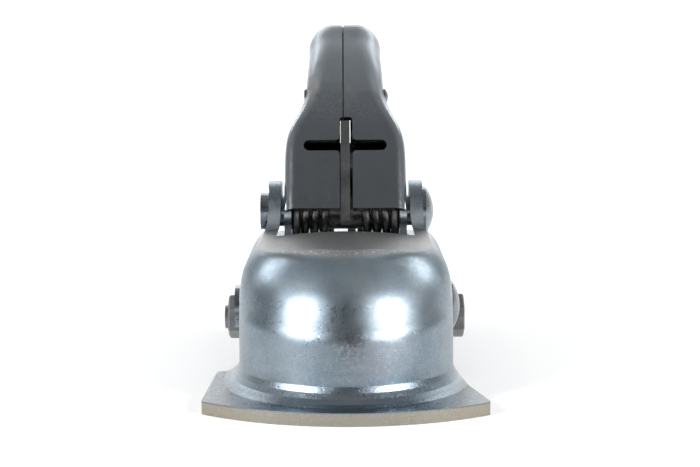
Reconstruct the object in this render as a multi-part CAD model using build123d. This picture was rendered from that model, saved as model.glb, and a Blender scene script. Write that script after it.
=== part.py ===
from build123d import *
import math
import os

# Trailer coupling head for a 50 mm tow ball
# Origin at the ball centre, nose towards -Y, width along X, +Z up, millimetres

# Ball and plate
ball_radius = 25.0
ball_play = 0.3
plate = 4.0
seat_radius = ball_radius + ball_play
dome_radius = seat_radius + plate

# Heights of the housing
foot_z = -20.5
flange_top = foot_z + plate
shelf_front_y = -10.0
shelf_front_z = 27.0
shelf_edge_y = 9.4
shelf_edge_z = 30.2
shelf_crown = 2.2
shelf_crown_half = 27.5
channel_top = 15.5
channel_end_y = 132.0
roof_edge_y = 50.0
roof_edge_z = 19.5
roof_level_y = 62.0
roof_round = 6.0
roof_round_inside = 2.5

# Widths of the housing, as half widths
wall_half = 34.0
handle_half = 19.75
ear_gap = 1.05
ear_half = handle_half + ear_gap + plate
nose_front = 31.0
nose_base_y = 9.0
nose_steps = 24
shoulder_power = 2.5
upper_shoulder_power = 3.3
dome_share = 7.0
nose_least = 6.0
mouth_blend = 7.5
mouth_edge_round = 3.6

# Flange outline
flange_front_y = -42.0
flange_left_x = -43.5
flange_left_y = -25.0
flange_left_rear_x = -42.0
flange_left_rear_y = 18.0
flange_right_x = 43.2
flange_right_y = -28.0
flange_right_rear_x = 36.9
flange_right_rear_y = 0.0
flange_corner = 2.2

# Main pivot of the handle
pivot_y = 28.0
pivot_z = 34.8
pivot_radius = 5.0
ear_round = 9.9
ear_foot_round = 2.6
pivot_head_radius = 7.8
pivot_head_height = 4.0
pivot_end_radius = 6.0
pivot_end_height = 2.9

# Pivot of the ball clamp
clamp_y = 31.0
clamp_z = 2.7
clamp_rivet_radius = 5.0
clamp_head_radius = 8.0
clamp_head_height = 3.7
clamp_end_radius = 7.0
clamp_end_height = 2.7

# Cross bolt behind the clamp
bolt_y = 50.0
bolt_z = -4.2
bolt_radius = 4.0
bolt_hole_radius = 4.3
bolt_head_height = 5.3
bolt_nut_height = 6.4
bolt_flats = 13.0
bolt_washer_radius = 8.0
bolt_washer_thick = 1.0
bolt_tube_radius = 6.5
bolt_tail = 1.2

# Holes for the two drawbar bolts
mount_radius = 6.5
mount_front_y = 80.0
mount_pitch = 36.0
mount_z = -3.0

# Flat seats under rivet heads, bolt head and nut
seat_margin = 0.6

# Running clearances
rivet_fit = 0.04
turn_fit = 0.06
side_gap = 0.1
cam_gap = 0.2

# Handle sheet, measured along its leaning front face
sheet = 2.3
handle_lean = 30.0
handle_depth_to_pivot = 12.0
handle_drop = 4.4
box_length = 19.0
grip_bend_start = 46.3
grip_bend_radius = 36.7
grip_end_lean = 55.0
grip_straight = 14.4
box_depth = 24.0
grip_depth = 13.0
box_edge_round = 3.6
grip_edge_round = 5.8
grip_end_round = 8.4
back_edge_round = 3.2
least_round = 0.6
seam_width = 0.4
seam_x = -0.6
slot_width = 4.2
slot_x = 0.3
slot_length = 32.6
slot_corner_round = 1.3
cross_slot_width = 27.1
cross_slot_height = 3.8
cross_slot_at = 22.4
cheek_lobe_round = 6.5
cheek_pivot_round = 10.4
back_wall_from = 11.5
finger_slot_from = 31.0
finger_slot_to = 47.0
finger_slot_half = 1.7

# Drive pin of the handle, which moves the clamp
drive_y = 12.0
drive_z = -12.3
drive_radius = 2.5
drive_head_radius = 4.0
drive_head_height = 0.8
handle_turn = 60.0
clamp_turn = 16.0

# Trigger
trigger_thick = 3.0
trigger_at = 43.4
trigger_depth = 6.5
trigger_pin_radius = 2.0
trigger_head_radius = 2.8
trigger_head_right = 1.6
trigger_head_left = 0.7
trigger_seat = 12.9
trigger_boss_radius = 3.9
trigger_pad_half = 7.0
trigger_pad_thick = 2.5
trigger_pad_gap = 5.5
trigger_tip_u = -8.2
trigger_tip_v = -15.7
trigger_kink_u = 11.5
trigger_kink_v = -12.9
trigger_top_u = 26.6
trigger_inner_v = -8.8

# Return springs on the main pivot
sleeve_radius = 6.0
coil_wire = 2.7
coil_pitch = 3.15
coil_full_turns = 3
coil_play = 0.25

# Trigger spring
small_wire = 1.0
small_coil_radius = 3.0
small_pitch = 1.15
small_turns = 4.4
small_start = 1.7

# Ball clamp
jaw_half = 13.0
jaw_tip_angle = 35.0
clamp_boss_radius = 9.5
jaw_back = 8.0
arm_thick = 2.7
arm_x = 0.65
arm_wall = 3.0
arm_root_radius = 7.5
arm_pin_radius = 2.0
arm_pin_y = 3.0
arm_pin_z = -8.6
clamp_tube_radius = 7.5

os.makedirs("parts", exist_ok=True)


def save(name, solid, colour):
    solid.label = name
    solid.color = colour
    export_step(solid, os.path.join("parts", name + ".step"))


def value_at(points, height):
    # Smooth reading of a list of height and size pairs, with no overshoot between them
    if height <= points[0][0]:
        return points[0][1]
    if height >= points[-1][0]:
        return points[-1][1]
    slopes = []
    for (low, first), (high, second) in zip(points, points[1:]):
        slopes.append((second - first) / (high - low))
    tangents = [0.0]
    for before, after in zip(slopes, slopes[1:]):
        tangents.append(0.0 if before * after <= 0 else 2 * before * after / (before + after))
    tangents.append(0.0)
    index = 0
    while points[index + 1][0] < height:
        index += 1
    low, first = points[index]
    high, second = points[index + 1]
    span = high - low
    t = (height - low) / span
    result = first * (1 + 2 * t) * (1 - t) ** 2 + second * t * t * (3 - 2 * t)
    result += span * (tangents[index] * t * (1 - t) ** 2 - tangents[index + 1] * t * t * (1 - t))
    return result


def moved_in(points, distance):
    # The same profile, moved inwards at right angles to itself
    result = []
    for index, (height, size) in enumerate(points):
        before = points[max(index - 1, 0)]
        after = points[min(index + 1, len(points) - 1)]
        tilt = math.atan2(before[1] - after[1], after[0] - before[0])
        result.append((height - distance * math.sin(tilt), size - distance * math.cos(tilt)))
    return result


def nose_curve(half, front, shoulder, power):
    # Plan of the nose at one level: a round dome between two shoulders, as evenly spaced points
    reach = front + nose_base_y
    square = min(shoulder + nose_base_y, 0.9 * reach)
    dome = (reach**dome_share - square**dome_share) ** (1 / dome_share)
    dome_half = min(half, math.sqrt(max(front, 1.0) * reach))
    dense = 720
    curve = []
    for index in range(dense + 1):
        angle = math.pi * index / dense
        side = half * math.copysign(abs(math.cos(angle)) ** (2 / power), math.cos(angle))
        flat = 0.0 if index in (0, dense) else square * math.sin(angle) ** (2 / power)
        bulge = dome * math.sqrt(max(1 - (side / dome_half) ** 2, 0.0))
        ahead = (flat**dome_share + bulge**dome_share) ** (1 / dome_share)
        curve.append((side, nose_base_y - ahead))
    lengths = [0.0]
    for first, second in zip(curve, curve[1:]):
        lengths.append(lengths[-1] + math.dist(first, second))
    points = []
    index = 0
    for step in range(nose_steps + 1):
        wanted = lengths[-1] * step / nose_steps
        while index < dense - 1 and lengths[index + 1] < wanted:
            index += 1
        share = (wanted - lengths[index]) / (lengths[index + 1] - lengths[index])
        share = min(max(share, 0.0), 1.0)
        points.append(tuple(p + share * (q - p) for p, q in zip(curve[index], curve[index + 1])))
    return points


def plan_face(height, half, front, shoulder, rear):
    # One level of the housing: the nose, straight sides and a straight rear edge
    points = [Vector(x, y, height) for x, y in nose_curve(half, front, shoulder, shoulder_power)]
    steps = [index / nose_steps for index in range(nose_steps + 1)]
    nose = Edge.make_spline(points, tangents=[Vector(0, -1, 0), Vector(0, 1, 0)], parameters=steps)
    sides = Polyline(
        (-half, nose_base_y, height), (-half, rear, height), (half, rear, height), (half, nose_base_y, height)
    )
    return make_face([nose] + list(sides.edges()))


def side_prism(points, half):
    # A side view outline drawn out across the width
    outline = Plane.YZ * Polygon(*points, align=None)
    return extrude(outline, amount=half, both=True)


def cross_hole(radius, y, z, half):
    return Pos(0, y, z) * Rot(0, 90, 0) * Cylinder(radius, 2 * half)


def cross_rod(radius, y, z, start, end):
    return Pos((start + end) / 2, y, z) * Rot(0, 90, 0) * Cylinder(radius, end - start)


def cross_tube(outer, inner, y, z, start, end):
    return cross_rod(outer, y, z, start, end) - cross_rod(inner, y, z, start - 1, end + 1)


def dome_head(radius, height, rim):
    # A domed rivet head standing on the plane z = 0
    rise = height - rim
    ball = (radius * radius + rise * rise) / (2 * rise)
    cap = Pos(0, 0, height - ball) * Sphere(ball)
    return cap & (Pos(0, 0, height / 2) * Cylinder(radius, height))


# Housing profile: half width and nose front at each height
wide = [
    (foot_z - 2, wall_half),
    (-8.0, wall_half),
    (2.0, wall_half - 0.05),
    (8.0, wall_half - 0.2),
    (14.0, wall_half - 0.7),
    (18.5, wall_half - 1.6),
    (22.0, wall_half - 3.2),
    (25.0, wall_half - 5.3),
    (27.8, ear_half + 1.9),
    (31.0, ear_half + 0.75),
    (34.5, ear_half + 0.15),
    (39.0, ear_half),
    (pivot_z + ear_round + 8, ear_half),
]
ahead = [
    (foot_z - 2, nose_front),
    (-8.0, nose_front),
    (2.0, nose_front - 0.4),
]
for height in (8.0, 14.0, 18.5, 22.0, 25.0, 27.8):
    ahead.append((height, math.sqrt(dome_radius * dome_radius - height * height)))
ahead.append((31.0, 9.5))
ahead.append((34.5, 7.6))
ahead.append((39.0, 6.8))
ahead.append((pivot_z + ear_round + 8, 6.4))
shoulder = [
    (foot_z - 2, 22.0),
    (-8.0, 21.0),
    (2.0, 19.2),
    (8.0, 17.6),
    (14.0, 16.0),
    (18.5, 14.7),
    (22.0, 13.6),
    (25.0, 12.3),
    (27.8, 10.4),
    (31.0, 7.6),
    (34.5, 6.0),
    (39.0, 5.2),
    (pivot_z + ear_round + 8, 4.8),
]
corner_power = [
    (foot_z - 2, shoulder_power),
    (2.0, shoulder_power),
    (14.0, (shoulder_power + upper_shoulder_power) / 2),
    (24.0, upper_shoulder_power),
    (pivot_z + ear_round + 8, upper_shoulder_power),
]

shelf_slope = (shelf_edge_z - shelf_front_z) / (shelf_edge_y - shelf_front_y)


def shelf_height(y):
    return shelf_edge_z + (y - shelf_edge_y) * shelf_slope


def smooth_form(widths, fronts, shoulders, low, high, rear):
    # A closed body with one smooth surface round the nose, straight sides behind it and flat ends
    rows = []
    for index in range(31):
        z = low + (high - low) * index / 30
        sizes = [value_at(profile, z) for profile in (widths, fronts, shoulders, corner_power)]
        plan = nose_curve(*sizes)
        rows.append([Vector(x, y, z) for x, y in plan])
    nose = Face.make_surface_from_array_of_points(rows, tol=0.02, min_deg=3, max_deg=3)
    edges = nose.edges()
    back = Vector(0, rear - nose_base_y, 0)
    right = Face.extrude(edges.sort_by(Axis.X)[-1], back)
    left = Face.extrude(edges.sort_by(Axis.X)[0], back)
    ends = []
    for edge in (edges.sort_by(Axis.Z)[0], edges.sort_by(Axis.Z)[-1]):
        first = edge @ 0
        last = edge @ 1
        corners = [last, Vector(last.X, rear, last.Z), Vector(first.X, rear, first.Z), first]
        lines = [Edge.make_line(start, end) for start, end in zip(corners, corners[1:])]
        ends.append(Face(Wire([edge] + lines)))
    rear_edges = [face.edges().sort_by(Axis.Y)[-1] for face in (right, left)]
    rear_edges += [face.edges().sort_by(Axis.Y)[-1] for face in ends]
    return Solid(Shell([nose, right, left] + ends + [Face(Wire.combine(rear_edges, 0.01)[0])]))


# Outer form, cut to its side view
top_z = pivot_z + ear_round + 8
outer = smooth_form(wide, ahead, shoulder, foot_z - 2, top_z, channel_end_y)
roof_angle = math.atan2(roof_edge_z - channel_top, roof_level_y - roof_edge_y)
side_view = Polygon(
    (-60, foot_z),
    (-60, shelf_height(-60) - shelf_crown),
    (pivot_y - ear_round, shelf_height(pivot_y - ear_round) - shelf_crown),
    (pivot_y - ear_round, pivot_z),
    (pivot_y + ear_round, pivot_z),
    (roof_edge_y, roof_edge_z),
    (roof_level_y, channel_top),
    (channel_end_y, channel_top),
    (channel_end_y, foot_z),
    align=None,
)
side_view += Pos(pivot_y, pivot_z) * Circle(ear_round)
foot_corner = side_view.vertices().sort_by_distance(
    (pivot_y - ear_round, shelf_height(pivot_y - ear_round) - shelf_crown)
)[0]
side_view = fillet(foot_corner, ear_foot_round)
crown_radius = (shelf_crown_half**2 + shelf_crown**2) / (2 * shelf_crown)


def crown(depth):
    # The shelf's crowned top, at a depth below it
    slope = math.atan(shelf_slope)
    far = crown_radius + depth
    centre = (shelf_edge_y + far * math.sin(slope), shelf_edge_z - far * math.cos(slope))
    turn = math.degrees(slope) - 90
    return Pos(0, centre[0], centre[1]) * Rot(turn, 0, 0) * Cylinder(crown_radius, 180)


crown_end = pivot_y - ear_round + 1
crown_block = side_prism(
    [
        (-60, shelf_height(-60) - shelf_crown - 1),
        (crown_end, shelf_height(crown_end) - shelf_crown - 1),
        (crown_end, shelf_height(crown_end) + 2),
        (-60, shelf_height(-60) + 2),
    ],
    60,
)
outer = outer & (extrude(Plane.YZ * side_view, amount=60, both=True) + (crown_block & crown(0)))
roof_edges = [
    edge
    for edge in outer.edges()
    if edge.center().Y > roof_edge_y - 1
    and edge.center().Z > channel_top - 0.5
    and abs(edge.center().X) > 20
]
roof_edges = [edge for edge in roof_edges if edge.length > 8]
outer = fillet(roof_edges, roof_round)

# Room inside, one plate thickness in, open upwards between the ears
wide_in = moved_in(wide, plate)
ahead_in = moved_in(ahead, plate)
shoulder_in = moved_in(shoulder, plate)
front_in = [(height, max(size, nose_least)) for height, size in ahead_in]
room = smooth_form(wide_in, front_in, shoulder_in, foot_z - 2.5, top_z + 3, channel_end_y + 5)
slope_thick = plate / math.cos(math.atan(shelf_slope))
roof_thick = plate / math.cos(roof_angle)
room_top = top_z + 6
above_shelf = side_prism(
    [
        (-60, shelf_height(-60) - slope_thick - shelf_crown),
        (shelf_edge_y, shelf_edge_z - slope_thick - shelf_crown),
        (shelf_edge_y, room_top),
        (-60, room_top),
    ],
    60,
)
room -= above_shelf - crown(plate)
room -= side_prism(
    [
        (roof_edge_y, roof_edge_z - roof_thick),
        (roof_level_y - 0.5, channel_top - plate),
        (channel_end_y + 8, channel_top - plate),
        (channel_end_y + 8, room_top),
        (roof_edge_y, room_top),
    ],
    60,
)
room_edges = [
    edge
    for edge in room.edges()
    if edge.center().Y > roof_level_y
    and edge.center().Y < channel_end_y
    and abs(edge.center().Z - channel_top + plate) < 0.5
    and edge.length > 30
]
room = fillet(room_edges, roof_round_inside)

# Flange around the mouth, with the rounded foot of the wall
front_arc = ThreePointArc(
    (flange_left_x, flange_left_y), (0, flange_front_y), (flange_right_x, flange_right_y)
)
rim = Polyline(
    (flange_right_x, flange_right_y),
    (flange_right_rear_x, flange_right_rear_y),
    (flange_right_rear_x - 1.4, flange_right_rear_y + 4),
    (wall_half - 3, flange_right_rear_y + 4.5),
    (wall_half - 3, flange_left_rear_y),
    (flange_left_rear_x, flange_left_rear_y),
    (flange_left_x, flange_left_y),
)
flange_face = make_face([front_arc.edge()] + list(rim.edges()))
rounded = [
    vertex
    for vertex in flange_face.vertices()
    if vertex.Y < flange_left_rear_y + 1 and abs(vertex.X) > wall_half
]
flange_face = fillet(rounded, flange_corner)
flange = Pos(0, 0, foot_z) * extrude(flange_face, amount=plate)
flare_faces = []
for index in range(7):
    angle = math.radians(15 * index)
    level = flange_top - 0.3 + mouth_blend * (1 - math.cos(angle))
    grow = mouth_blend * (1 - math.sin(angle)) - 0.35
    reach = value_at(shoulder, foot_z) + grow
    flare_faces.append(plan_face(level, wall_half + grow, nose_front + grow, reach, flange_left_rear_y))
flare = loft(flare_faces, ruled=True) & (Pos(0, 0, foot_z) * extrude(flange_face, amount=40))
mouth_faces = []
for index in range(7):
    angle = math.radians(15 * index)
    level = foot_z - 0.01 + mouth_edge_round * (1 - math.cos(angle))
    grow = mouth_edge_round * (1 - math.sin(angle)) - 0.15
    half = value_at(wide_in, foot_z) + grow
    front = value_at(ahead_in, foot_z) + grow
    reach = value_at(shoulder_in, foot_z) + grow
    mouth_faces.append(plan_face(level, half, front, reach, nose_base_y + 2))
mouth_end = flange_right_rear_y + 2
mouth = loft(mouth_faces, ruled=True) & side_prism(
    [(-60, foot_z - 1), (mouth_end, foot_z - 1), (mouth_end, flange_top + 2), (-60, flange_top + 2)], 60
)

housing = outer + flange + flare
housing -= room
housing -= mouth
housing -= Sphere(seat_radius)
housing -= cross_hole(pivot_radius + rivet_fit, pivot_y, pivot_z, 60)
housing -= cross_hole(clamp_rivet_radius + rivet_fit, clamp_y, clamp_z, 60)
housing -= cross_hole(bolt_hole_radius, bolt_y, bolt_z, 60)
for side in (-1, 1):
    for radius, y, z, seat in (
        (pivot_head_radius, pivot_y, pivot_z, ear_half),
        (clamp_head_radius, clamp_y, clamp_z, wall_half),
        (bolt_washer_radius, bolt_y, bolt_z, wall_half),
    ):
        ends = sorted((side * seat, side * (seat + 8)))
        housing -= cross_rod(radius + seat_margin, y, z, ends[0], ends[1])
for place in (mount_front_y, mount_front_y + mount_pitch):
    housing -= cross_hole(mount_radius, place, mount_z, 60)

zinc = Color(0.62, 0.66, 0.72)
dark = Color(0.34, 0.37, 0.42)
black = Color(0.12, 0.12, 0.13)
grey = Color(0.5, 0.52, 0.55)
save("housing", housing, zinc)

# Rivets
ear_in = ear_half - plate
pivot_rivet = cross_rod(pivot_radius, pivot_y, pivot_z, -ear_half, ear_half)
pivot_rivet += (
    Pos(ear_half, pivot_y, pivot_z) * Rot(0, 90, 0) * dome_head(pivot_head_radius, pivot_head_height, 1.3)
)
pivot_rivet += cross_rod(
    pivot_end_radius, pivot_y, pivot_z, -ear_half - pivot_end_height, -ear_half
)
save("pivot_rivet", pivot_rivet, grey)

clamp_rivet = cross_rod(clamp_rivet_radius, clamp_y, clamp_z, -wall_half, wall_half)
clamp_rivet += (
    Pos(wall_half, clamp_y, clamp_z) * Rot(0, 90, 0) * dome_head(clamp_head_radius, clamp_head_height, 1.2)
)
clamp_rivet += cross_rod(
    clamp_end_radius, clamp_y, clamp_z, -wall_half - clamp_end_height, -wall_half
)
save("clamp_rivet", clamp_rivet, grey)

# Cross bolt with its nut, washer and inner tube
bolt_seat = wall_half + bolt_washer_thick
hexagon = RegularPolygon(bolt_flats / 2, 6, major_radius=False)
bolt = cross_rod(bolt_radius, bolt_y, bolt_z, -wall_half - bolt_nut_height - bolt_tail, bolt_seat)
bolt_head = chamfer(extrude(hexagon, amount=bolt_head_height).edges().group_by(Axis.Z)[-1], 0.5)
bolt += Pos(bolt_seat, bolt_y, bolt_z) * Rot(0, 90, 0) * bolt_head
save("cross_bolt", bolt, grey)
nut = extrude(hexagon, amount=bolt_nut_height)
nut = chamfer(nut.edges().group_by(Axis.Z)[-1], 0.6)
nut = Pos(-wall_half, bolt_y, bolt_z) * Rot(0, -90, 0) * nut
nut -= cross_hole(bolt_radius + rivet_fit, bolt_y, bolt_z, 60)
save("cross_bolt_nut", nut, grey)
save(
    "cross_bolt_washer",
    cross_tube(bolt_washer_radius, bolt_hole_radius, bolt_y, bolt_z, wall_half, bolt_seat),
    grey,
)
wall_in = value_at(wide_in, bolt_z)
save(
    "cross_bolt_tube",
    cross_tube(
        bolt_tube_radius, bolt_hole_radius, bolt_y, bolt_z, -wall_in + side_gap, wall_in - side_gap
    ),
    dark,
)

# Handle frame: u runs up the leaning front face, v runs from the front to the back
lean = math.radians(handle_lean)


def handle_point(u, v):
    y = pivot_y + u * math.sin(lean) + v * math.cos(lean)
    z = pivot_z + u * math.cos(lean) - v * math.sin(lean)
    return (y, z)


def path_point(along, depth):
    # A point at a length along the front face and a depth behind it
    if along <= grip_bend_start:
        return handle_point(along - handle_drop, depth - handle_depth_to_pivot)
    start = handle_point(grip_bend_start - handle_drop, -handle_depth_to_pivot)
    full = math.radians(grip_end_lean - handle_lean)
    turn = min((along - grip_bend_start) / grip_bend_radius, full)
    rest = along - grip_bend_start - full * grip_bend_radius
    centre_y = start[0] + grip_bend_radius * math.cos(lean)
    centre_z = start[1] - grip_bend_radius * math.sin(lean)
    now = lean + turn
    y = centre_y - (grip_bend_radius - depth) * math.cos(now)
    z = centre_z + (grip_bend_radius - depth) * math.sin(now)
    if rest > 0:
        y += rest * math.sin(now)
        z += rest * math.cos(now)
    return (y, z)


grip_bend_end = grip_bend_start + grip_bend_radius * math.radians(grip_end_lean - handle_lean)
grip_end = grip_bend_end + grip_straight


def handle_depth(along):
    return value_at(
        [(0, box_depth), (box_length, box_depth), (grip_bend_start - 4, grip_depth), (200, grip_depth)],
        along,
    )


# Half width of the handle at each length along its face: box, neck, grip and rounded end
half_widths = [
    (0, handle_half),
    (20.0, handle_half),
    (25.0, handle_half - 0.3),
    (28.0, handle_half - 0.9),
    (31.0, handle_half - 1.9),
    (34.0, handle_half - 3.3),
    (37.0, handle_half - 4.7),
    (40.0, handle_half - 5.8),
    (43.0, handle_half - 6.5),
    (47.0, handle_half - 6.9),
    (56.0, handle_half - 7.2),
    (64.0, handle_half - 7.5),
    (grip_end - 3.6, handle_half - 8.0),
    (grip_end - 1.6, handle_half - 9.4),
    (grip_end - 0.5, handle_half - 11.3),
    (grip_end, handle_half - 12.9),
]
end_insets = [(0, 0), (grip_end - 3.6, 0), (grip_end - 1.6, 0.8), (grip_end - 0.5, 2.0), (grip_end, 3.0)]
edge_rounds = [
    (0, box_edge_round),
    (box_length, box_edge_round),
    (grip_bend_start, grip_edge_round),
    (grip_bend_end, grip_end_round),
    (grip_end - 3.6, grip_end_round),
    (grip_end - 1.6, 0.8 * grip_end_round),
    (grip_end - 0.5, 0.54 * grip_end_round),
    (grip_end, 0.4 * grip_end_round),
]


def handle_section(along, inset, place):
    # One cross-section of the folded sheet, at right angles to the handle's face
    now = lean
    if along > grip_bend_start:
        full = math.radians(grip_end_lean - handle_lean)
        now = lean + min((along - grip_bend_start) / grip_bend_radius, full)
    half = value_at(half_widths, along) - inset
    near = value_at(end_insets, along) + inset
    far = handle_depth(along) - value_at(end_insets, along) - inset
    front_round = max(value_at(edge_rounds, along) - inset, least_round)
    back_round = max(back_edge_round - inset, least_round)
    y, z = path_point(place, 0)
    section = Pos(0, (near + far) / 2) * Rectangle(2 * half, far - near)
    section = fillet(section.vertices().group_by(Axis.Y)[0], front_round)
    section = fillet(section.vertices().group_by(Axis.Y)[-1], back_round)
    plane = Plane(origin=(0, y, z), x_dir=(1, 0, 0), z_dir=(0, math.sin(now), math.cos(now)))
    return plane * section


stations = [0, 10, 20, 24, 27.5, 31, 34.5, 38, 42, grip_bend_start]
stations += [50.3, 54.3, 58.3, grip_bend_end, 66.5, grip_end - 3.6, grip_end - 1.6, grip_end - 0.5, grip_end]


def path_prism(first, last, near, far, half):
    # A band of the handle between two lengths and two depths
    steps = [first + (last - first) * index / 10 for index in range(11)]
    band = [path_point(s, near) for s in steps] + [path_point(s, far) for s in reversed(steps)]
    return side_prism(band, half)


handle = loft([handle_section(s, 0, s) for s in stations])
inside = loft([handle_section(s, sheet, s - 2.0 if s == 0 else s) for s in stations[:-3]], ruled=True)
handle -= inside
inner_half = handle_half - sheet
handle -= path_prism(-6, back_wall_from, sheet + 2, box_depth + 12, inner_half)
handle -= path_prism(finger_slot_from, finger_slot_to, sheet + 4, box_depth + 12, finger_slot_half)

# Cheeks around the pivot and out to the drive pin
drive_at = (pivot_y + drive_y, pivot_z + drive_z)
lobe = make_hull(
    (Pos(pivot_y, pivot_z) * Circle(cheek_pivot_round)).edges()
    + (Pos(*drive_at) * Circle(cheek_lobe_round)).edges()
)
lobe += Polygon(
    path_point(6, box_edge_round + 0.2),
    path_point(0, box_edge_round),
    (pivot_y - cheek_pivot_round + 0.6, pivot_z - 3.5),
    (pivot_y + 6, pivot_z),
    path_point(12, 12),
    align=None,
)
cheek = extrude(Plane.YZ * lobe, amount=sheet)
handle += Pos(handle_half - sheet, 0, 0) * cheek
handle += Pos(-handle_half, 0, 0) * cheek
handle -= cross_hole(pivot_radius + turn_fit, pivot_y, pivot_z, 40)
handle -= cross_hole(drive_radius + rivet_fit, drive_at[0], drive_at[1], 40)

# Seam, blade slot and cross slot in the front of the handle
slot_y, slot_z = path_point(cross_slot_at, 0)
slot_plane = Plane(
    origin=(0, slot_y, slot_z), x_dir=(1, 0, 0), z_dir=(0, -math.cos(lean), math.sin(lean))
)
slots = SlotOverall(cross_slot_width, cross_slot_height)
slots += Pos(slot_x, (slot_length - cross_slot_at - cross_slot_at - 4) / 2) * Rectangle(
    slot_width, slot_length + 4
)
slot_corners = slots.vertices().filter_by(
    lambda v: abs(abs(v.X - slot_x) - slot_width / 2) < 0.01 and abs(v.Y) < cross_slot_height
)
slots = fillet(slot_corners, slot_corner_round)
slots = fillet(slots.vertices().group_by(Axis.Y)[-1], 0.9)
handle -= extrude(slot_plane * slots, amount=sheet + 1.5, both=True)
handle -= Pos(seam_x, 0, 0) * path_prism(slot_length - 1, grip_end + 4, -3, sheet + 0.5, seam_width / 2)
trigger_y, trigger_z = path_point(trigger_at, trigger_depth)
handle -= cross_hole(trigger_pin_radius + rivet_fit, trigger_y, trigger_z, 40)
handle -= cross_rod(trigger_head_radius + 0.4, trigger_y, trigger_z, trigger_seat, 30)
handle -= cross_rod(trigger_head_radius + 0.4, trigger_y, trigger_z, -30, -trigger_seat)
save("handle", handle, dark)

drive_pin = cross_rod(drive_radius, drive_at[0], drive_at[1], -handle_half, handle_half)
for side in (-1, 1):
    ends = sorted((side * handle_half, side * (handle_half + drive_head_height)))
    drive_pin += cross_rod(drive_head_radius, drive_at[0], drive_at[1], ends[0], ends[1])
save("drive_pin", drive_pin, grey)

# Trigger: a blade in the slot, its boss on the rivet and a finger pad behind the grip
blade_points = [
    handle_point(trigger_tip_u, trigger_tip_v),
    handle_point(trigger_kink_u, trigger_kink_v),
    handle_point(trigger_top_u, trigger_kink_v + 0.2),
    handle_point(trigger_top_u + 1.0, trigger_inner_v),
    path_point(trigger_at - 1, trigger_depth - trigger_boss_radius),
    path_point(trigger_at, trigger_depth),
    path_point(trigger_at - 3, trigger_depth + 7),
    path_point(trigger_at - 9, trigger_depth + 5),
    handle_point(trigger_kink_u + 8, -5.5),
    handle_point(trigger_kink_u, -8.0),
    handle_point(0, -10.7),
    handle_point(trigger_tip_u - 1.6, trigger_tip_v + 4.6),
    handle_point(trigger_tip_u - 2.8, trigger_tip_v + 2.4),
    handle_point(trigger_tip_u - 1.9, trigger_tip_v + 0.5),
]
blade = Polygon(*blade_points, align=None)
blade += Pos(trigger_y, trigger_z) * Circle(trigger_boss_radius)
pad_start = finger_slot_to - 1
pad_end = grip_end - 6
pad_far = grip_depth + trigger_pad_gap + trigger_pad_thick
pad_near = grip_depth + trigger_pad_gap
finger_points = [
    path_point(trigger_at - 2, trigger_depth),
    path_point(trigger_at - 4.5, trigger_depth + 8),
    path_point(pad_start + 1, pad_near),
]
pad_steps = [pad_start + 4 + (pad_end - pad_start - 4) * index / 6 for index in range(7)]
finger_points += [path_point(s, pad_near) for s in pad_steps]
finger_points += [path_point(s, pad_far) for s in reversed(pad_steps)]
finger_points += [
    path_point(pad_start, pad_far + 0.5),
    path_point(trigger_at - 6.5, trigger_depth + 12),
    path_point(trigger_at - 9, trigger_depth + 5),
]
blade += Polygon(*finger_points, align=None)
trigger = extrude(Plane.YZ * blade, amount=trigger_thick / 2, both=True)
trigger += path_prism(pad_start + 5, pad_end, pad_near, pad_far, trigger_pad_half)
trigger -= cross_hole(trigger_pin_radius + turn_fit, trigger_y, trigger_z, 40)
save("trigger", trigger, grey)

trigger_rivet = cross_rod(trigger_pin_radius, trigger_y, trigger_z, -trigger_seat, trigger_seat)
trigger_rivet += (
    Pos(trigger_seat, trigger_y, trigger_z)
    * Rot(0, 90, 0)
    * dome_head(trigger_head_radius, trigger_head_right, 0.5)
)
trigger_rivet += cross_rod(
    trigger_head_radius, trigger_y, trigger_z, -trigger_seat - trigger_head_left, -trigger_seat
)
save("trigger_rivet", trigger_rivet, grey)


def coil(radius, wire, pitch, turns, first, side, y, z, start_angle, leg_in, leg_out):
    # A torsion spring round a cross axis: it winds from the outer end at first towards the middle,
    # over the top, and has a straight leg at each end; angles run from +Y towards +Z
    height = pitch * turns
    steps = int(turns * 24)
    points = []
    for index in range(steps + 1):
        angle = math.radians(start_angle) - 2 * math.pi * turns * index / steps
        x = side * (first - height * index / steps)
        points.append((x, y + radius * math.cos(angle), z + radius * math.sin(angle)))
    path = Spline(points)
    start = Vector(*points[0])
    end = Vector(*points[-1])
    body = sweep(Plane(origin=path @ 0, z_dir=path % 0) * Circle(wire / 2), path=path, is_frenet=True)
    for place, angle, length, way in (
        (start, math.radians(start_angle), leg_in, -1),
        (end, math.radians(start_angle - 360 * turns), leg_out, 1),
    ):
        direction = Vector(0, math.sin(angle) * way, -math.cos(angle) * way)
        leg = extrude(Plane(origin=place, z_dir=direction) * Circle(wire / 2), amount=length)
        body += leg
        body += Pos(*place) * Sphere(wire / 2)
    return body


# Spring tube on the pivot and the two return springs round it
save(
    "spring_sleeve",
    cross_tube(
        sleeve_radius, pivot_radius + turn_fit, pivot_y, pivot_z, -inner_half + side_gap, inner_half - side_gap
    ),
    black,
)
coil_radius = sleeve_radius + coil_play + coil_wire / 2
drive_reach = math.hypot(drive_y, drive_z)
drive_angle = math.degrees(math.atan2(drive_z, drive_y))
wrap = math.degrees(math.asin((coil_radius - drive_radius - coil_wire / 2 - side_gap) / drive_reach))
coil_end_angle = drive_angle + 90 - wrap
rest_y = pivot_y - clamp_y
rest_z = pivot_z - clamp_z
rest_reach = math.hypot(rest_y, rest_z)
rest_angle = math.degrees(math.atan2(-rest_z, -rest_y))
rest_wrap = math.degrees(
    math.asin((clamp_tube_radius + coil_wire / 2 + side_gap - coil_radius) / rest_reach)
)
coil_start_angle = rest_angle + 270 - rest_wrap
coil_turns = coil_full_turns + (coil_start_angle - coil_end_angle) / 360
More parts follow.
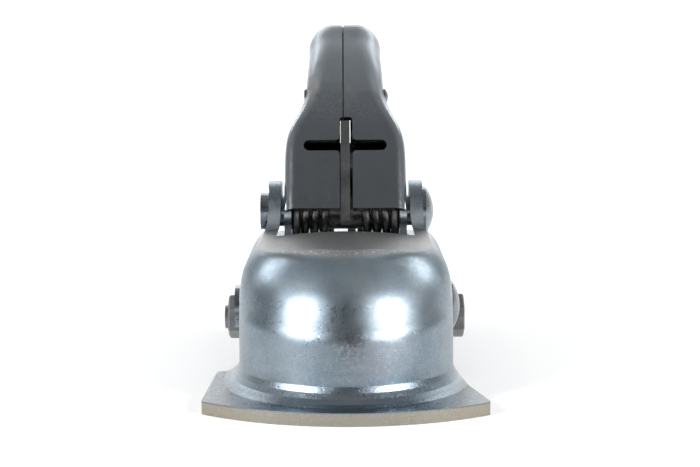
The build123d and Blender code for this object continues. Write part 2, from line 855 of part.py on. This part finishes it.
leg_down = math.sqrt(rest_reach**2 - (clamp_tube_radius - coil_radius) ** 2)
leg_back = math.sqrt(drive_reach**2 - (coil_radius - drive_radius) ** 2) + 3
for name, side in (("return_spring_left", -1), ("return_spring_right", 1)):
    spring = coil(
        coil_radius,
        coil_wire,
        coil_pitch,
        coil_turns,
        inner_half - side_gap - coil_wire / 2,
        side,
        pivot_y,
        pivot_z,
        coil_start_angle,
        leg_down,
        leg_back,
    )
    save(name, spring, black)

# Small spring on the trigger rivet
small_spring = coil(
    small_coil_radius,
    small_wire,
    small_pitch,
    small_turns,
    small_start + small_pitch * small_turns + small_wire / 2,
    1,
    trigger_y,
    trigger_z,
    200,
    6.5,
    3.2,
)
save("trigger_spring", small_spring, black)


# Ball clamp: a jaw under the back of the ball, turning on the lower rivet
def turned(y, z, centre_y, centre_z, degrees):
    angle = math.radians(degrees)
    dy = y - centre_y
    dz = z - centre_z
    return (
        centre_y + dy * math.cos(angle) - dz * math.sin(angle),
        centre_z + dy * math.sin(angle) + dz * math.cos(angle),
    )


tip = math.radians(jaw_tip_angle)
tip_in = (seat_radius * math.cos(tip), -seat_radius * math.sin(tip))
jaw_view = Polygon(
    (tip_in[0] - 3, tip_in[1] + 1.0),
    (tip_in[0] - 0.5, tip_in[1] - 1.0),
    (tip_in[0] + jaw_back * 0.6, tip_in[1] - 3.0),
    (clamp_y + 5, clamp_z - 12.5),
    (clamp_y + clamp_boss_radius, clamp_z),
    (clamp_y, clamp_z),
    (clamp_y - clamp_boss_radius - 2, clamp_z + 3),
    align=None,
)
jaw_view += Pos(clamp_y, clamp_z) * Circle(clamp_boss_radius)
clamp = extrude(Plane.YZ * jaw_view, amount=jaw_half, both=True)
open_centre = turned(0, 0, clamp_y, clamp_z, -clamp_turn)
seat_cut = Sphere(seat_radius) + Pos(0, open_centre[0], open_centre[1]) * Sphere(seat_radius)
clamp -= seat_cut
clamp -= cross_hole(clamp_rivet_radius + turn_fit, clamp_y, clamp_z, 40)
arm_slot = Pos(arm_x + arm_thick / 2, clamp_y, clamp_z) * Box(arm_thick + 0.1, 60, 60)
arm_slot &= cross_hole(arm_root_radius + side_gap, clamp_y, clamp_z, 40)
slot_room = Pos(arm_x + arm_thick / 2, clamp_y, clamp_z + 20) * Box(arm_thick + 0.1, 60, 46)
clamp -= arm_slot + slot_room
clamp -= cross_hole(arm_pin_radius + rivet_fit, clamp_y + arm_pin_y, clamp_z + arm_pin_z, 40)
save("ball_clamp", clamp, dark)

# Arm with the cam slot that the drive pin runs in
cam_points = []
for index in range(13):
    share = index / 12
    point = turned(drive_at[0], drive_at[1], pivot_y, pivot_z, handle_turn * share)
    cam_points.append(turned(point[0], point[1], clamp_y, clamp_z, -clamp_turn * share))
cam_half = drive_radius + cam_gap
arm_half = cam_half + arm_wall


def joined(first, second, first_radius, second_radius):
    circles = (Pos(*first) * Circle(first_radius)).edges()
    circles += (Pos(*second) * Circle(second_radius)).edges()
    return make_hull(circles)


arm_view = joined((clamp_y, clamp_z), cam_points[0], arm_root_radius, arm_half)
cam_view = None
for first, second in zip(cam_points, cam_points[1:]):
    arm_view += joined(first, second, arm_half, arm_half)
    piece = joined(first, second, cam_half, cam_half)
    cam_view = piece if cam_view is None else cam_view + piece
arm = extrude(Plane.YZ * (arm_view - cam_view), amount=arm_thick)
arm = Pos(arm_x, 0, 0) * arm
arm -= seat_cut
arm -= cross_hole(clamp_rivet_radius + turn_fit, clamp_y, clamp_z, 40)
arm -= cross_hole(arm_pin_radius + rivet_fit, clamp_y + arm_pin_y, clamp_z + arm_pin_z, 40)
save("clamp_arm", arm, grey)
save(
    "clamp_arm_pin",
    cross_rod(arm_pin_radius, clamp_y + arm_pin_y, clamp_z + arm_pin_z, -jaw_half, jaw_half),
    grey,
)
tube_in = value_at(wide_in, clamp_z + clamp_tube_radius)
for name, side in (("clamp_tube_left", -1), ("clamp_tube_right", 1)):
    ends = sorted((side * (jaw_half + side_gap), side * (tube_in - side_gap)))
    tube = cross_tube(
        clamp_tube_radius, clamp_rivet_radius + turn_fit, clamp_y, clamp_z, ends[0], ends[1]
    )
    save(name, tube, dark)
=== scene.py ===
import math
import bpy
from mathutils import Matrix, Vector


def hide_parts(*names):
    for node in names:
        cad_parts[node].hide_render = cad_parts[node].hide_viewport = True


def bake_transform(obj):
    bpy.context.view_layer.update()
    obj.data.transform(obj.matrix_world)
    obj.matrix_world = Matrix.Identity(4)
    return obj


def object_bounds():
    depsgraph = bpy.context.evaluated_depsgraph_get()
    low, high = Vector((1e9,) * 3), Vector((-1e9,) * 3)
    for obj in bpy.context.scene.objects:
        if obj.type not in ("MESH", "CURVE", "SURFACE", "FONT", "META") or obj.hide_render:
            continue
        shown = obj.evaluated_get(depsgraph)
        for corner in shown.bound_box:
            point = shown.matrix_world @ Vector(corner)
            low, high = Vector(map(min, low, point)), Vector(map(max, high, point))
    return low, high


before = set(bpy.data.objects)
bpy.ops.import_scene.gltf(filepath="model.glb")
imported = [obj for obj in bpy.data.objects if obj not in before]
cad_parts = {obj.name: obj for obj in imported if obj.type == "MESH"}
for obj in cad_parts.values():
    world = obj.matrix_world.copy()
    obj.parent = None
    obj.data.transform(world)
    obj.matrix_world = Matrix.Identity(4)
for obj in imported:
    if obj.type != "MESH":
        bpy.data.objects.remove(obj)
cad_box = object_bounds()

# Camera, at the photograph's angle: metres and degrees
camera_place = (0.0014, -0.494, 0.0922)
camera_pitch = 7.1
camera_roll = -0.35
camera_lens = 82.29
sensor_width = 36.0

# Soft boxes, left and right of the camera: degrees, metres and watts
box_azimuth = 54
left_box_elevation = 23
right_box_elevation = 21
box_distance = 0.9
box_width = 0.34
box_power = 7.0
box_aim = Vector((0.0, 0.0, 0.02))


class Finish:
    # A material in the making, with patterns that lie on the piece's own coordinates, in metres

    def __init__(self, name, metallic=1.0):
        self.material = bpy.data.materials.new(name)
        self.material.use_nodes = True
        self.shader = self.material.node_tree.nodes["Principled BSDF"]
        self.shader.inputs["Metallic"].default_value = metallic
        self.place = self.node("ShaderNodeTexCoord").outputs["Object"]
        self.colour = None
        self.roughness = None

    def feed(self, socket, value):
        # A number or a colour is set on the socket, and anything else is linked to it
        if isinstance(value, (int, float, tuple)):
            socket.default_value = value
        else:
            self.material.node_tree.links.new(value, socket)

    def node(self, kind, inputs=None, **settings):
        node = self.material.node_tree.nodes.new(kind)
        for name, value in settings.items():
            setattr(node, name, value)
        for name, value in (inputs or {}).items():
            self.feed(node.inputs[name], value)
        return node

    def axis(self, letter):
        return self.node("ShaderNodeSeparateXYZ", {0: self.place}).outputs[letter]

    def noise(self, scale, detail=3.0, roughness=0.5, distortion=0.0, stretch=None):
        place = self.place
        if stretch is not None:
            place = self.node("ShaderNodeMapping", {"Vector": place, "Scale": stretch}).outputs["Vector"]
        inputs = {
            "Vector": place, "Scale": scale, "Detail": detail,
            "Roughness": roughness, "Distortion": distortion,
        }
        return self.node("ShaderNodeTexNoise", inputs).outputs["Fac"]

    def between(self, value, low, high, start=0.0, end=1.0):
        # Goes from start to end while the value goes from low to high
        inputs = {"Value": value, "From Min": low, "From Max": high, "To Min": start, "To Max": end}
        return self.node("ShaderNodeMapRange", inputs).outputs["Result"]

    def math(self, operation, first, second=0.0):
        return self.node("ShaderNodeMath", {0: first, 1: second}, operation=operation).outputs[0]

    def plus(self, first, second):
        return self.math("ADD", first, second)

    def times(self, first, second):
        return self.math("MULTIPLY", first, second)

    def near_spot(self, centre, radius, softness=1.0):
        # 1 at the centre and 0 outside the radius
        node = self.node("ShaderNodeVectorMath", {0: self.place, 1: centre}, operation="DISTANCE")
        return self.between(node.outputs["Value"], radius * (1 - softness), radius, 1.0, 0.0)

    def near_height(self, height, reach):
        # 1 at one height and 0 away from it
        away = self.math("ABSOLUTE", self.math("SUBTRACT", self.axis("Z"), height))
        return self.between(away, 0.4 * reach, reach, 1.0, 0.0)

    def mix(self, share, first, second):
        node = self.node("ShaderNodeMix", {0: share, 6: first, 7: second}, data_type="RGBA")
        return node.outputs[2]

    def tint(self, share, colour, strength=1.0):
        # Lays a colour over the one so far where the share is 1
        if strength < 1.0:
            share = self.between(share, 0.0, 1.0, 0.0, strength)
        self.colour = self.mix(share, self.colour, colour)

    def roughen(self, share, amount):
        # Adds up to this amount of roughness where the share is 1
        self.roughness = self.plus(self.roughness, self.between(share, 0.0, 1.0, 0.0, amount))

    def bump(self, layers):
        # Several bumps, one after the other: each is a height, its strength and its depth in metres
        normal = None
        for height, strength, depth in layers:
            inputs = {"Strength": strength, "Distance": depth, "Height": height}
            if normal is not None:
                inputs["Normal"] = normal
            normal = self.node("ShaderNodeBump", inputs).outputs["Normal"]
        self.feed(self.shader.inputs["Normal"], normal)

    def done(self):
        self.feed(self.shader.inputs["Base Color"], self.colour)
        self.feed(self.shader.inputs["Roughness"], self.roughness)
        return self.material


def tone(red, green, blue):
    return (red, green, blue, 1.0)


def zinc_plate():
    # Bright zinc on pressed plate: cloudy grey-blue with faint tints
    zinc = Finish("zinc_plate")
    cloud = zinc.noise(scale=38.0, detail=4.0, roughness=0.55, distortion=0.4)
    fine = zinc.noise(scale=900.0, roughness=0.6)
    grain = zinc.noise(scale=3400.0, detail=2.0, roughness=0.7)
    blush = zinc.noise(scale=24.0, detail=2.0, distortion=0.8)
    streaks = zinc.noise(scale=420.0, detail=4.0, roughness=0.65, stretch=(1.0, 1.0, 0.12))

    zinc.colour = zinc.mix(
        zinc.between(cloud, 0.38, 0.62), tone(0.235, 0.295, 0.345), tone(0.31, 0.37, 0.415)
    )
    rosy, olive, sooty = tone(0.33, 0.28, 0.315), tone(0.32, 0.31, 0.25), tone(0.15, 0.17, 0.20)
    zinc.tint(zinc.between(blush, 0.56, 0.72, end=0.3), rosy)
    zinc.tint(zinc.between(blush, 0.40, 0.28, end=0.25), olive)
    zinc.tint(zinc.between(fine, 0.35, 0.7, end=0.3), sooty)

    zinc.roughness = zinc.plus(
        zinc.between(cloud, 0.3, 0.7, 0.27, 0.33), zinc.between(fine, 0.3, 0.7, -0.05, 0.05)
    )
    dull_shelf(zinc, fine)
    dull_shoulders(zinc)
    # Painted glints along the shelf's front edge
    painted_shelf_rim_glints(zinc)
    # Painted dark reflection on the front of the dome
    painted_nose_dark_reflection(zinc, fine)
    # Painted shade on the flange's two sides
    painted_flange_wing_shade(zinc)
    bare_cut_edge(zinc)
    zinc.bump([(grain, 0.55, 0.00013), (fine, 0.27, 0.00015), (streaks, 0.08, 0.0001)])
    return zinc.done()


def dull_shelf(zinc, fine):
    # The flat top of the nose is duller, and tinted a warmer grey-brown that is partly the plate's own
    # tone and partly painted shading, set for how bright the upward-facing shelf reads; its edge in front
    # is ragged
    edge_low, edge_high, edge_wander = 0.0246, 0.0266, 0.0004
    back_start, back_end = 0.014, 0.020
    ragged = zinc.plus(zinc.axis("Z"), zinc.between(fine, 0.3, 0.7, -edge_wander, edge_wander))
    shelf = zinc.times(
        zinc.between(ragged, edge_low, edge_high), zinc.between(zinc.axis("Y"), back_end, back_start)
    )
    # Partly painted shading: this tint also sets how bright the shelf reads
    zinc.tint(shelf, tone(0.40, 0.39, 0.375), strength=0.75)
    zinc.roughen(shelf, 0.12)


def dull_shoulders(zinc):
    # The upper nose is duller, which fades out again at the shelf's edge
    start, full, fading, end = 0.012, 0.020, 0.0235, 0.0265
    height = zinc.axis("Z")
    zinc.roughen(zinc.times(zinc.between(height, start, full), zinc.between(height, end, fading)), 0.16)


def painted_shelf_rim_glints(zinc):
    # Painted highlights: small bright specks painted along the front edge of the shelf, standing in for
    # glints of light
    rim_height, rim_reach = 0.0262, 0.0007
    front_start, front_full = -0.006, -0.010
    rim = zinc.times(
        zinc.near_height(rim_height, rim_reach), zinc.between(zinc.axis("Y"), front_start, front_full)
    )
    specks = zinc.between(zinc.noise(scale=1500.0, detail=2.0), 0.60, 0.68)
    zinc.tint(zinc.times(rim, specks), tone(0.9, 0.9, 0.88))


def painted_nose_dark_reflection(zinc, fine):
    # Painted dark reflection: a dark patch painted between the two lights on the dome, where the dome
    # mirrors the dark surroundings in front
    reflection_centre, reflection_radius = (0.001, -0.031, 0.0015), 0.007
    dark_reflection = zinc.times(zinc.near_spot(reflection_centre, reflection_radius), zinc.between(fine, 0.36, 0.66))
    zinc.tint(dark_reflection, tone(0.07, 0.06, 0.055), strength=0.9)


def painted_flange_wing_shade(zinc):
    # Painted shade: the flange's top is painted darker towards its two sides, where it reflects darker
    # surroundings
    side_start, side_full = 0.026, 0.036
    flange_above, flange_top = -0.0150, -0.0162
    side = zinc.between(zinc.math("ABSOLUTE", zinc.axis("X")), side_start, side_full)
    wing_shade = zinc.times(side, zinc.between(zinc.axis("Z"), flange_above, flange_top))
    zinc.tint(wing_shade, tone(0.105, 0.115, 0.125), strength=0.6)


def bare_cut_edge(zinc):
    # The flange's sheared edge is warmer, bare steel
    cut_start, cut_full = -0.0166, -0.0171
    zinc.tint(zinc.between(zinc.axis("Z"), cut_start, cut_full), tone(0.39, 0.35, 0.28), strength=0.8)


def gunmetal():
    # Dark plated sheet, painted a little lighter towards the grip as painted light where it faces up more,
    # with a brown patch and light scratches
    sheet = Finish("gunmetal_sheet")
    cloud = sheet.noise(scale=55.0, detail=4.0, roughness=0.6, distortion=0.5)
    fine = sheet.noise(scale=1100.0, roughness=0.6)
    grain = sheet.noise(scale=3800.0, detail=2.0, roughness=0.7)
    scratch = sheet.noise(scale=800.0, detail=2.0, distortion=1.2, stretch=(1.0, 0.25, 0.25))

    neck_low, neck_high = 0.048, 0.066
    height = sheet.axis("Z")
    # Painted light: the colour grows lighter with height, from the neck up to the grip
    sheet.colour = sheet.mix(
        sheet.between(height, neck_low, neck_high), tone(0.35, 0.385, 0.42), tone(0.38, 0.42, 0.46)
    )
    sheet.tint(sheet.between(cloud, 0.5, 0.66, end=0.4), tone(0.23, 0.24, 0.25))

    patch_centre, patch_radius = (-0.0075, 0.036, 0.079), 0.014
    patch = sheet.times(
        sheet.near_spot(patch_centre, patch_radius, softness=0.5), sheet.between(cloud, 0.40, 0.52)
    )
    sheet.tint(patch, tone(0.27, 0.25, 0.22), strength=0.75)
    specks = sheet.between(sheet.noise(scale=1500.0, detail=1.0, roughness=0.4), 0.72, 0.76)
    sheet.tint(specks, tone(0.55, 0.56, 0.57), strength=0.8)
    # Painted shade: the inside of the handle's box is painted nearly black
    sheet.tint(painted_shade_inside_handle(sheet), tone(0.012, 0.012, 0.013))

    sheet.roughness = sheet.plus(
        sheet.between(cloud, 0.3, 0.7, 0.18, 0.24), sheet.between(fine, 0.3, 0.7, -0.03, 0.04)
    )
    grip_start, grip_full = 0.062, 0.080
    sheet.roughen(patch, 0.1)
    sheet.roughness = sheet.plus(sheet.roughness, sheet.between(height, grip_start, grip_full, end=0.18))
    sheet.bump([(grain, 0.22, 0.00006), (fine, 0.17, 0.00008), (scratch, 0.08, 0.0001)])
    return sheet.done()


def painted_shade_inside_handle(sheet):
    # 1 inside the box of the handle, which is nearly black in the photograph
    lean_cosine, lean_sine = 0.866, 0.5
    front_start, front_full = -0.0027, -0.0022
    side_end, side_full = 0.0176, 0.0172
    top_end, top_full = 0.066, 0.062
    back_end, back_full = 0.0180, 0.0174
    narrowing_low, narrowing_high, narrowing = 0.0414, 0.0671, 0.0110
    height = sheet.axis("Z")
    # Distance behind the leaning front, square to it
    depth = sheet.math(
        "SUBTRACT", sheet.times(sheet.axis("Y"), lean_cosine), sheet.times(height, lean_sine)
    )
    side = sheet.math("ABSOLUTE", sheet.axis("X"))
    back = sheet.plus(depth, sheet.between(height, narrowing_low, narrowing_high, end=narrowing))
    inside = sheet.times(
        sheet.between(depth, front_start, front_full), sheet.between(side, side_end, side_full)
    )
    inside = sheet.times(inside, sheet.between(height, top_end, top_full))
    return sheet.times(inside, sheet.between(back, back_end, back_full))


def plain_steel(name, light, dark, rough):
    steel = Finish(name)
    cloud = steel.noise(scale=90.0, detail=4.0, roughness=0.6, distortion=0.4)
    fine = steel.noise(scale=1300.0, roughness=0.6)
    grain = steel.noise(scale=3600.0, detail=2.0, roughness=0.7)
    steel.colour = steel.mix(steel.between(cloud, 0.36, 0.64), light, dark)
    steel.tint(steel.between(fine, 0.5, 0.75, end=0.25), tone(*(0.6 * part for part in dark[:3])))
    steel.roughness = steel.between(fine, 0.3, 0.7, rough - 0.05, rough + 0.07)
    steel.bump([(grain, 0.35, 0.00006), (fine, 0.25, 0.0001)])
    return steel.done()


def black_spring():
    wire = Finish("black_spring_wire")
    cloud = wire.noise(scale=260.0, detail=4.0, roughness=0.6)
    wire.colour = wire.mix(wire.between(cloud, 0.45, 0.7), tone(0.09, 0.09, 0.092), tone(0.26, 0.25, 0.24))
    wire.roughness = wire.between(cloud, 0.3, 0.7, 0.22, 0.42)
    wire.bump([(wire.noise(scale=2400.0, detail=2.0), 0.3, 0.00008)])
    return wire.done()


def dress(node, material):
    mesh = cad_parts[node].data
    mesh.materials.clear()
    mesh.materials.append(material)


def twisting_spring(name, node):
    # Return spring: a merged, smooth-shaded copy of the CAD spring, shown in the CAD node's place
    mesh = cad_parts[node].data.copy()
    spring = bpy.data.objects.new(name, mesh)
    bpy.context.scene.collection.objects.link(spring)
    bpy.ops.object.select_all(action="DESELECT")
    spring.select_set(True)
    bpy.context.view_layer.objects.active = spring
    bpy.ops.object.mode_set(mode="EDIT")
    bpy.ops.mesh.select_all(action="SELECT")
    bpy.ops.mesh.remove_doubles(threshold=0.000002)
    bpy.ops.object.mode_set(mode="OBJECT")
    bpy.ops.object.shade_smooth_by_angle(angle=math.radians(35))
    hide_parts(node)
    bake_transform(spring)


def pale_paper():
    paper = Finish("pale_paper", metallic=0.0)
    paper.shader.inputs["Specular IOR Level"].default_value = 0.1
    paper.shader.inputs["Emission Color"].default_value = tone(1, 1, 1)
    paper.shader.inputs["Emission Strength"].default_value = 0.18
    cloud = paper.noise(scale=3.0, detail=2.0)
    paper.colour = paper.mix(cloud, tone(0.86, 0.86, 0.86), tone(0.90, 0.90, 0.90))
    paper.roughness = 0.9
    return paper.done()


def studio_floor():
    # Pale floor that curves up into a backdrop
    half_width = 2.0
    front, bend_start, bend_radius, top = -1.6, 0.9, 0.6, 2.0
    bend_steps = 12
    floor_height = cad_box[0][2]
    profile = [(front, 0.0), (bend_start, 0.0)]
    for index in range(1, bend_steps + 1):
        angle = math.radians(90 * index / bend_steps)
        profile.append((bend_start + bend_radius * math.sin(angle), bend_radius * (1 - math.cos(angle))))
    profile.append((bend_start + bend_radius, top))
    points = []
    faces = []
    for y, z in profile:
        points.append((-half_width, y, z + floor_height))
        points.append((half_width, y, z + floor_height))
    for index in range(len(profile) - 1):
        faces.append((2 * index, 2 * index + 1, 2 * index + 3, 2 * index + 2))
    mesh = bpy.data.meshes.new("studio_floor")
    mesh.from_pydata(points, [], faces)
    mesh.update()
    for face in mesh.polygons:
        face.use_smooth = True
    floor = bpy.data.objects.new("studio_floor", mesh)
    bpy.context.scene.collection.objects.link(floor)
    mesh.materials.append(pale_paper())


def area_light(name, power):
    light = bpy.data.lights.new(name, "AREA")
    light.energy = power
    lamp = bpy.data.objects.new(name, light)
    bpy.context.scene.collection.objects.link(lamp)
    return lamp


def soft_box(name, azimuth, elevation):
    lamp = area_light(name, box_power)
    lamp.data.shape = "DISK"
    lamp.data.size = box_width
    around = math.radians(azimuth)
    up = math.radians(elevation)
    away = Vector((math.sin(around) * math.cos(up), -math.cos(around) * math.cos(up), math.sin(up)))
    lamp.location = box_aim + box_distance * away
    lamp.rotation_euler = (box_aim - lamp.location).to_track_quat("-Z", "Y").to_euler()


def backdrop_wash():
    # Lights the backdrop from above and keeps it white
    lamp = area_light("backdrop_wash", 14.0)
    lamp.data.shape = "RECTANGLE"
    lamp.data.size = 2.4
    lamp.data.size_y = 0.5
    lamp.location = (0.0, 1.0, 0.85)
    lamp.rotation_euler = (math.radians(12), 0.0, 0.0)


def studio_surroundings():
    # Dark towards the camera's side, pale behind the object and a little lighter above
    front, front_light = -0.85, 0.045
    behind, behind_light = 0.6, 0.45
    lift_upwards = 0.06
    world = bpy.data.worlds.new("studio_surroundings")
    bpy.context.scene.world = world
    world.use_nodes = True
    tree = world.node_tree
    background = tree.nodes["Background"]
    place = tree.nodes.new("ShaderNodeTexCoord")
    axes = tree.nodes.new("ShaderNodeSeparateXYZ")
    share = tree.nodes.new("ShaderNodeMapRange")
    share.inputs["From Min"].default_value = front
    share.inputs["From Max"].default_value = behind
    share.inputs["To Min"].default_value = front_light
    share.inputs["To Max"].default_value = behind_light
    lift = tree.nodes.new("ShaderNodeMath")
    lift.operation = "MULTIPLY_ADD"
    lift.inputs[1].default_value = lift_upwards
    tree.links.new(place.outputs["Generated"], axes.inputs[0])
    tree.links.new(axes.outputs["Y"], share.inputs["Value"])
    tree.links.new(axes.outputs["Z"], lift.inputs[0])
    tree.links.new(share.outputs["Result"], lift.inputs[2])
    tree.links.new(lift.outputs[0], background.inputs["Color"])
    background.inputs["Strength"].default_value = 1.0


def camera():
    lens = bpy.data.cameras.new("camera")
    lens.lens = camera_lens
    lens.sensor_width = sensor_width
    lens.clip_start = 0.01
    view = bpy.data.objects.new("camera", lens)
    bpy.context.scene.collection.objects.link(view)
    pitch = Matrix.Rotation(math.radians(90 - camera_pitch), 4, "X")
    roll = Matrix.Rotation(math.radians(camera_roll), 4, "Z")
    view.matrix_world = Matrix.Translation(camera_place) @ pitch @ roll
    bpy.context.scene.camera = view


finished_nodes = (
    (zinc_plate(), ("housing",)),
    (gunmetal(), ("handle",)),
    (
        plain_steel("worn_blade_steel", tone(0.26, 0.265, 0.27), tone(0.16, 0.16, 0.165), 0.32),
        ("trigger",),
    ),
    (
        plain_steel("plated_rivet", tone(0.31, 0.345, 0.38), tone(0.21, 0.235, 0.26), 0.27),
        ("pivot_rivet", "clamp_rivet", "trigger_rivet", "drive_pin", "clamp_arm_pin"),
    ),
    (
        plain_steel("dull_bolt", tone(0.25, 0.26, 0.27), tone(0.15, 0.155, 0.16), 0.34),
        ("cross_bolt", "cross_bolt_nut", "cross_bolt_washer"),
    ),
    (
        plain_steel("dark_inner_steel", tone(0.16, 0.165, 0.17), tone(0.10, 0.10, 0.105), 0.42),
        ("cross_bolt_tube", "clamp_tube_left", "clamp_tube_right", "ball_clamp", "clamp_arm"),
    ),
    (
        black_spring(),
        ("spring_sleeve", "return_spring_left", "return_spring_right", "trigger_spring"),
    ),
)
for material, nodes in finished_nodes:
    for node in nodes:
        dress(node, material)

twisting_spring("left_return_spring", "return_spring_left")
twisting_spring("right_return_spring", "return_spring_right")

studio_floor()
soft_box("left_soft_box", -box_azimuth, left_box_elevation)
soft_box("right_soft_box", box_azimuth, right_box_elevation)
backdrop_wash()
studio_surroundings()
camera()
bpy.context.scene.view_settings.view_transform = "Standard"
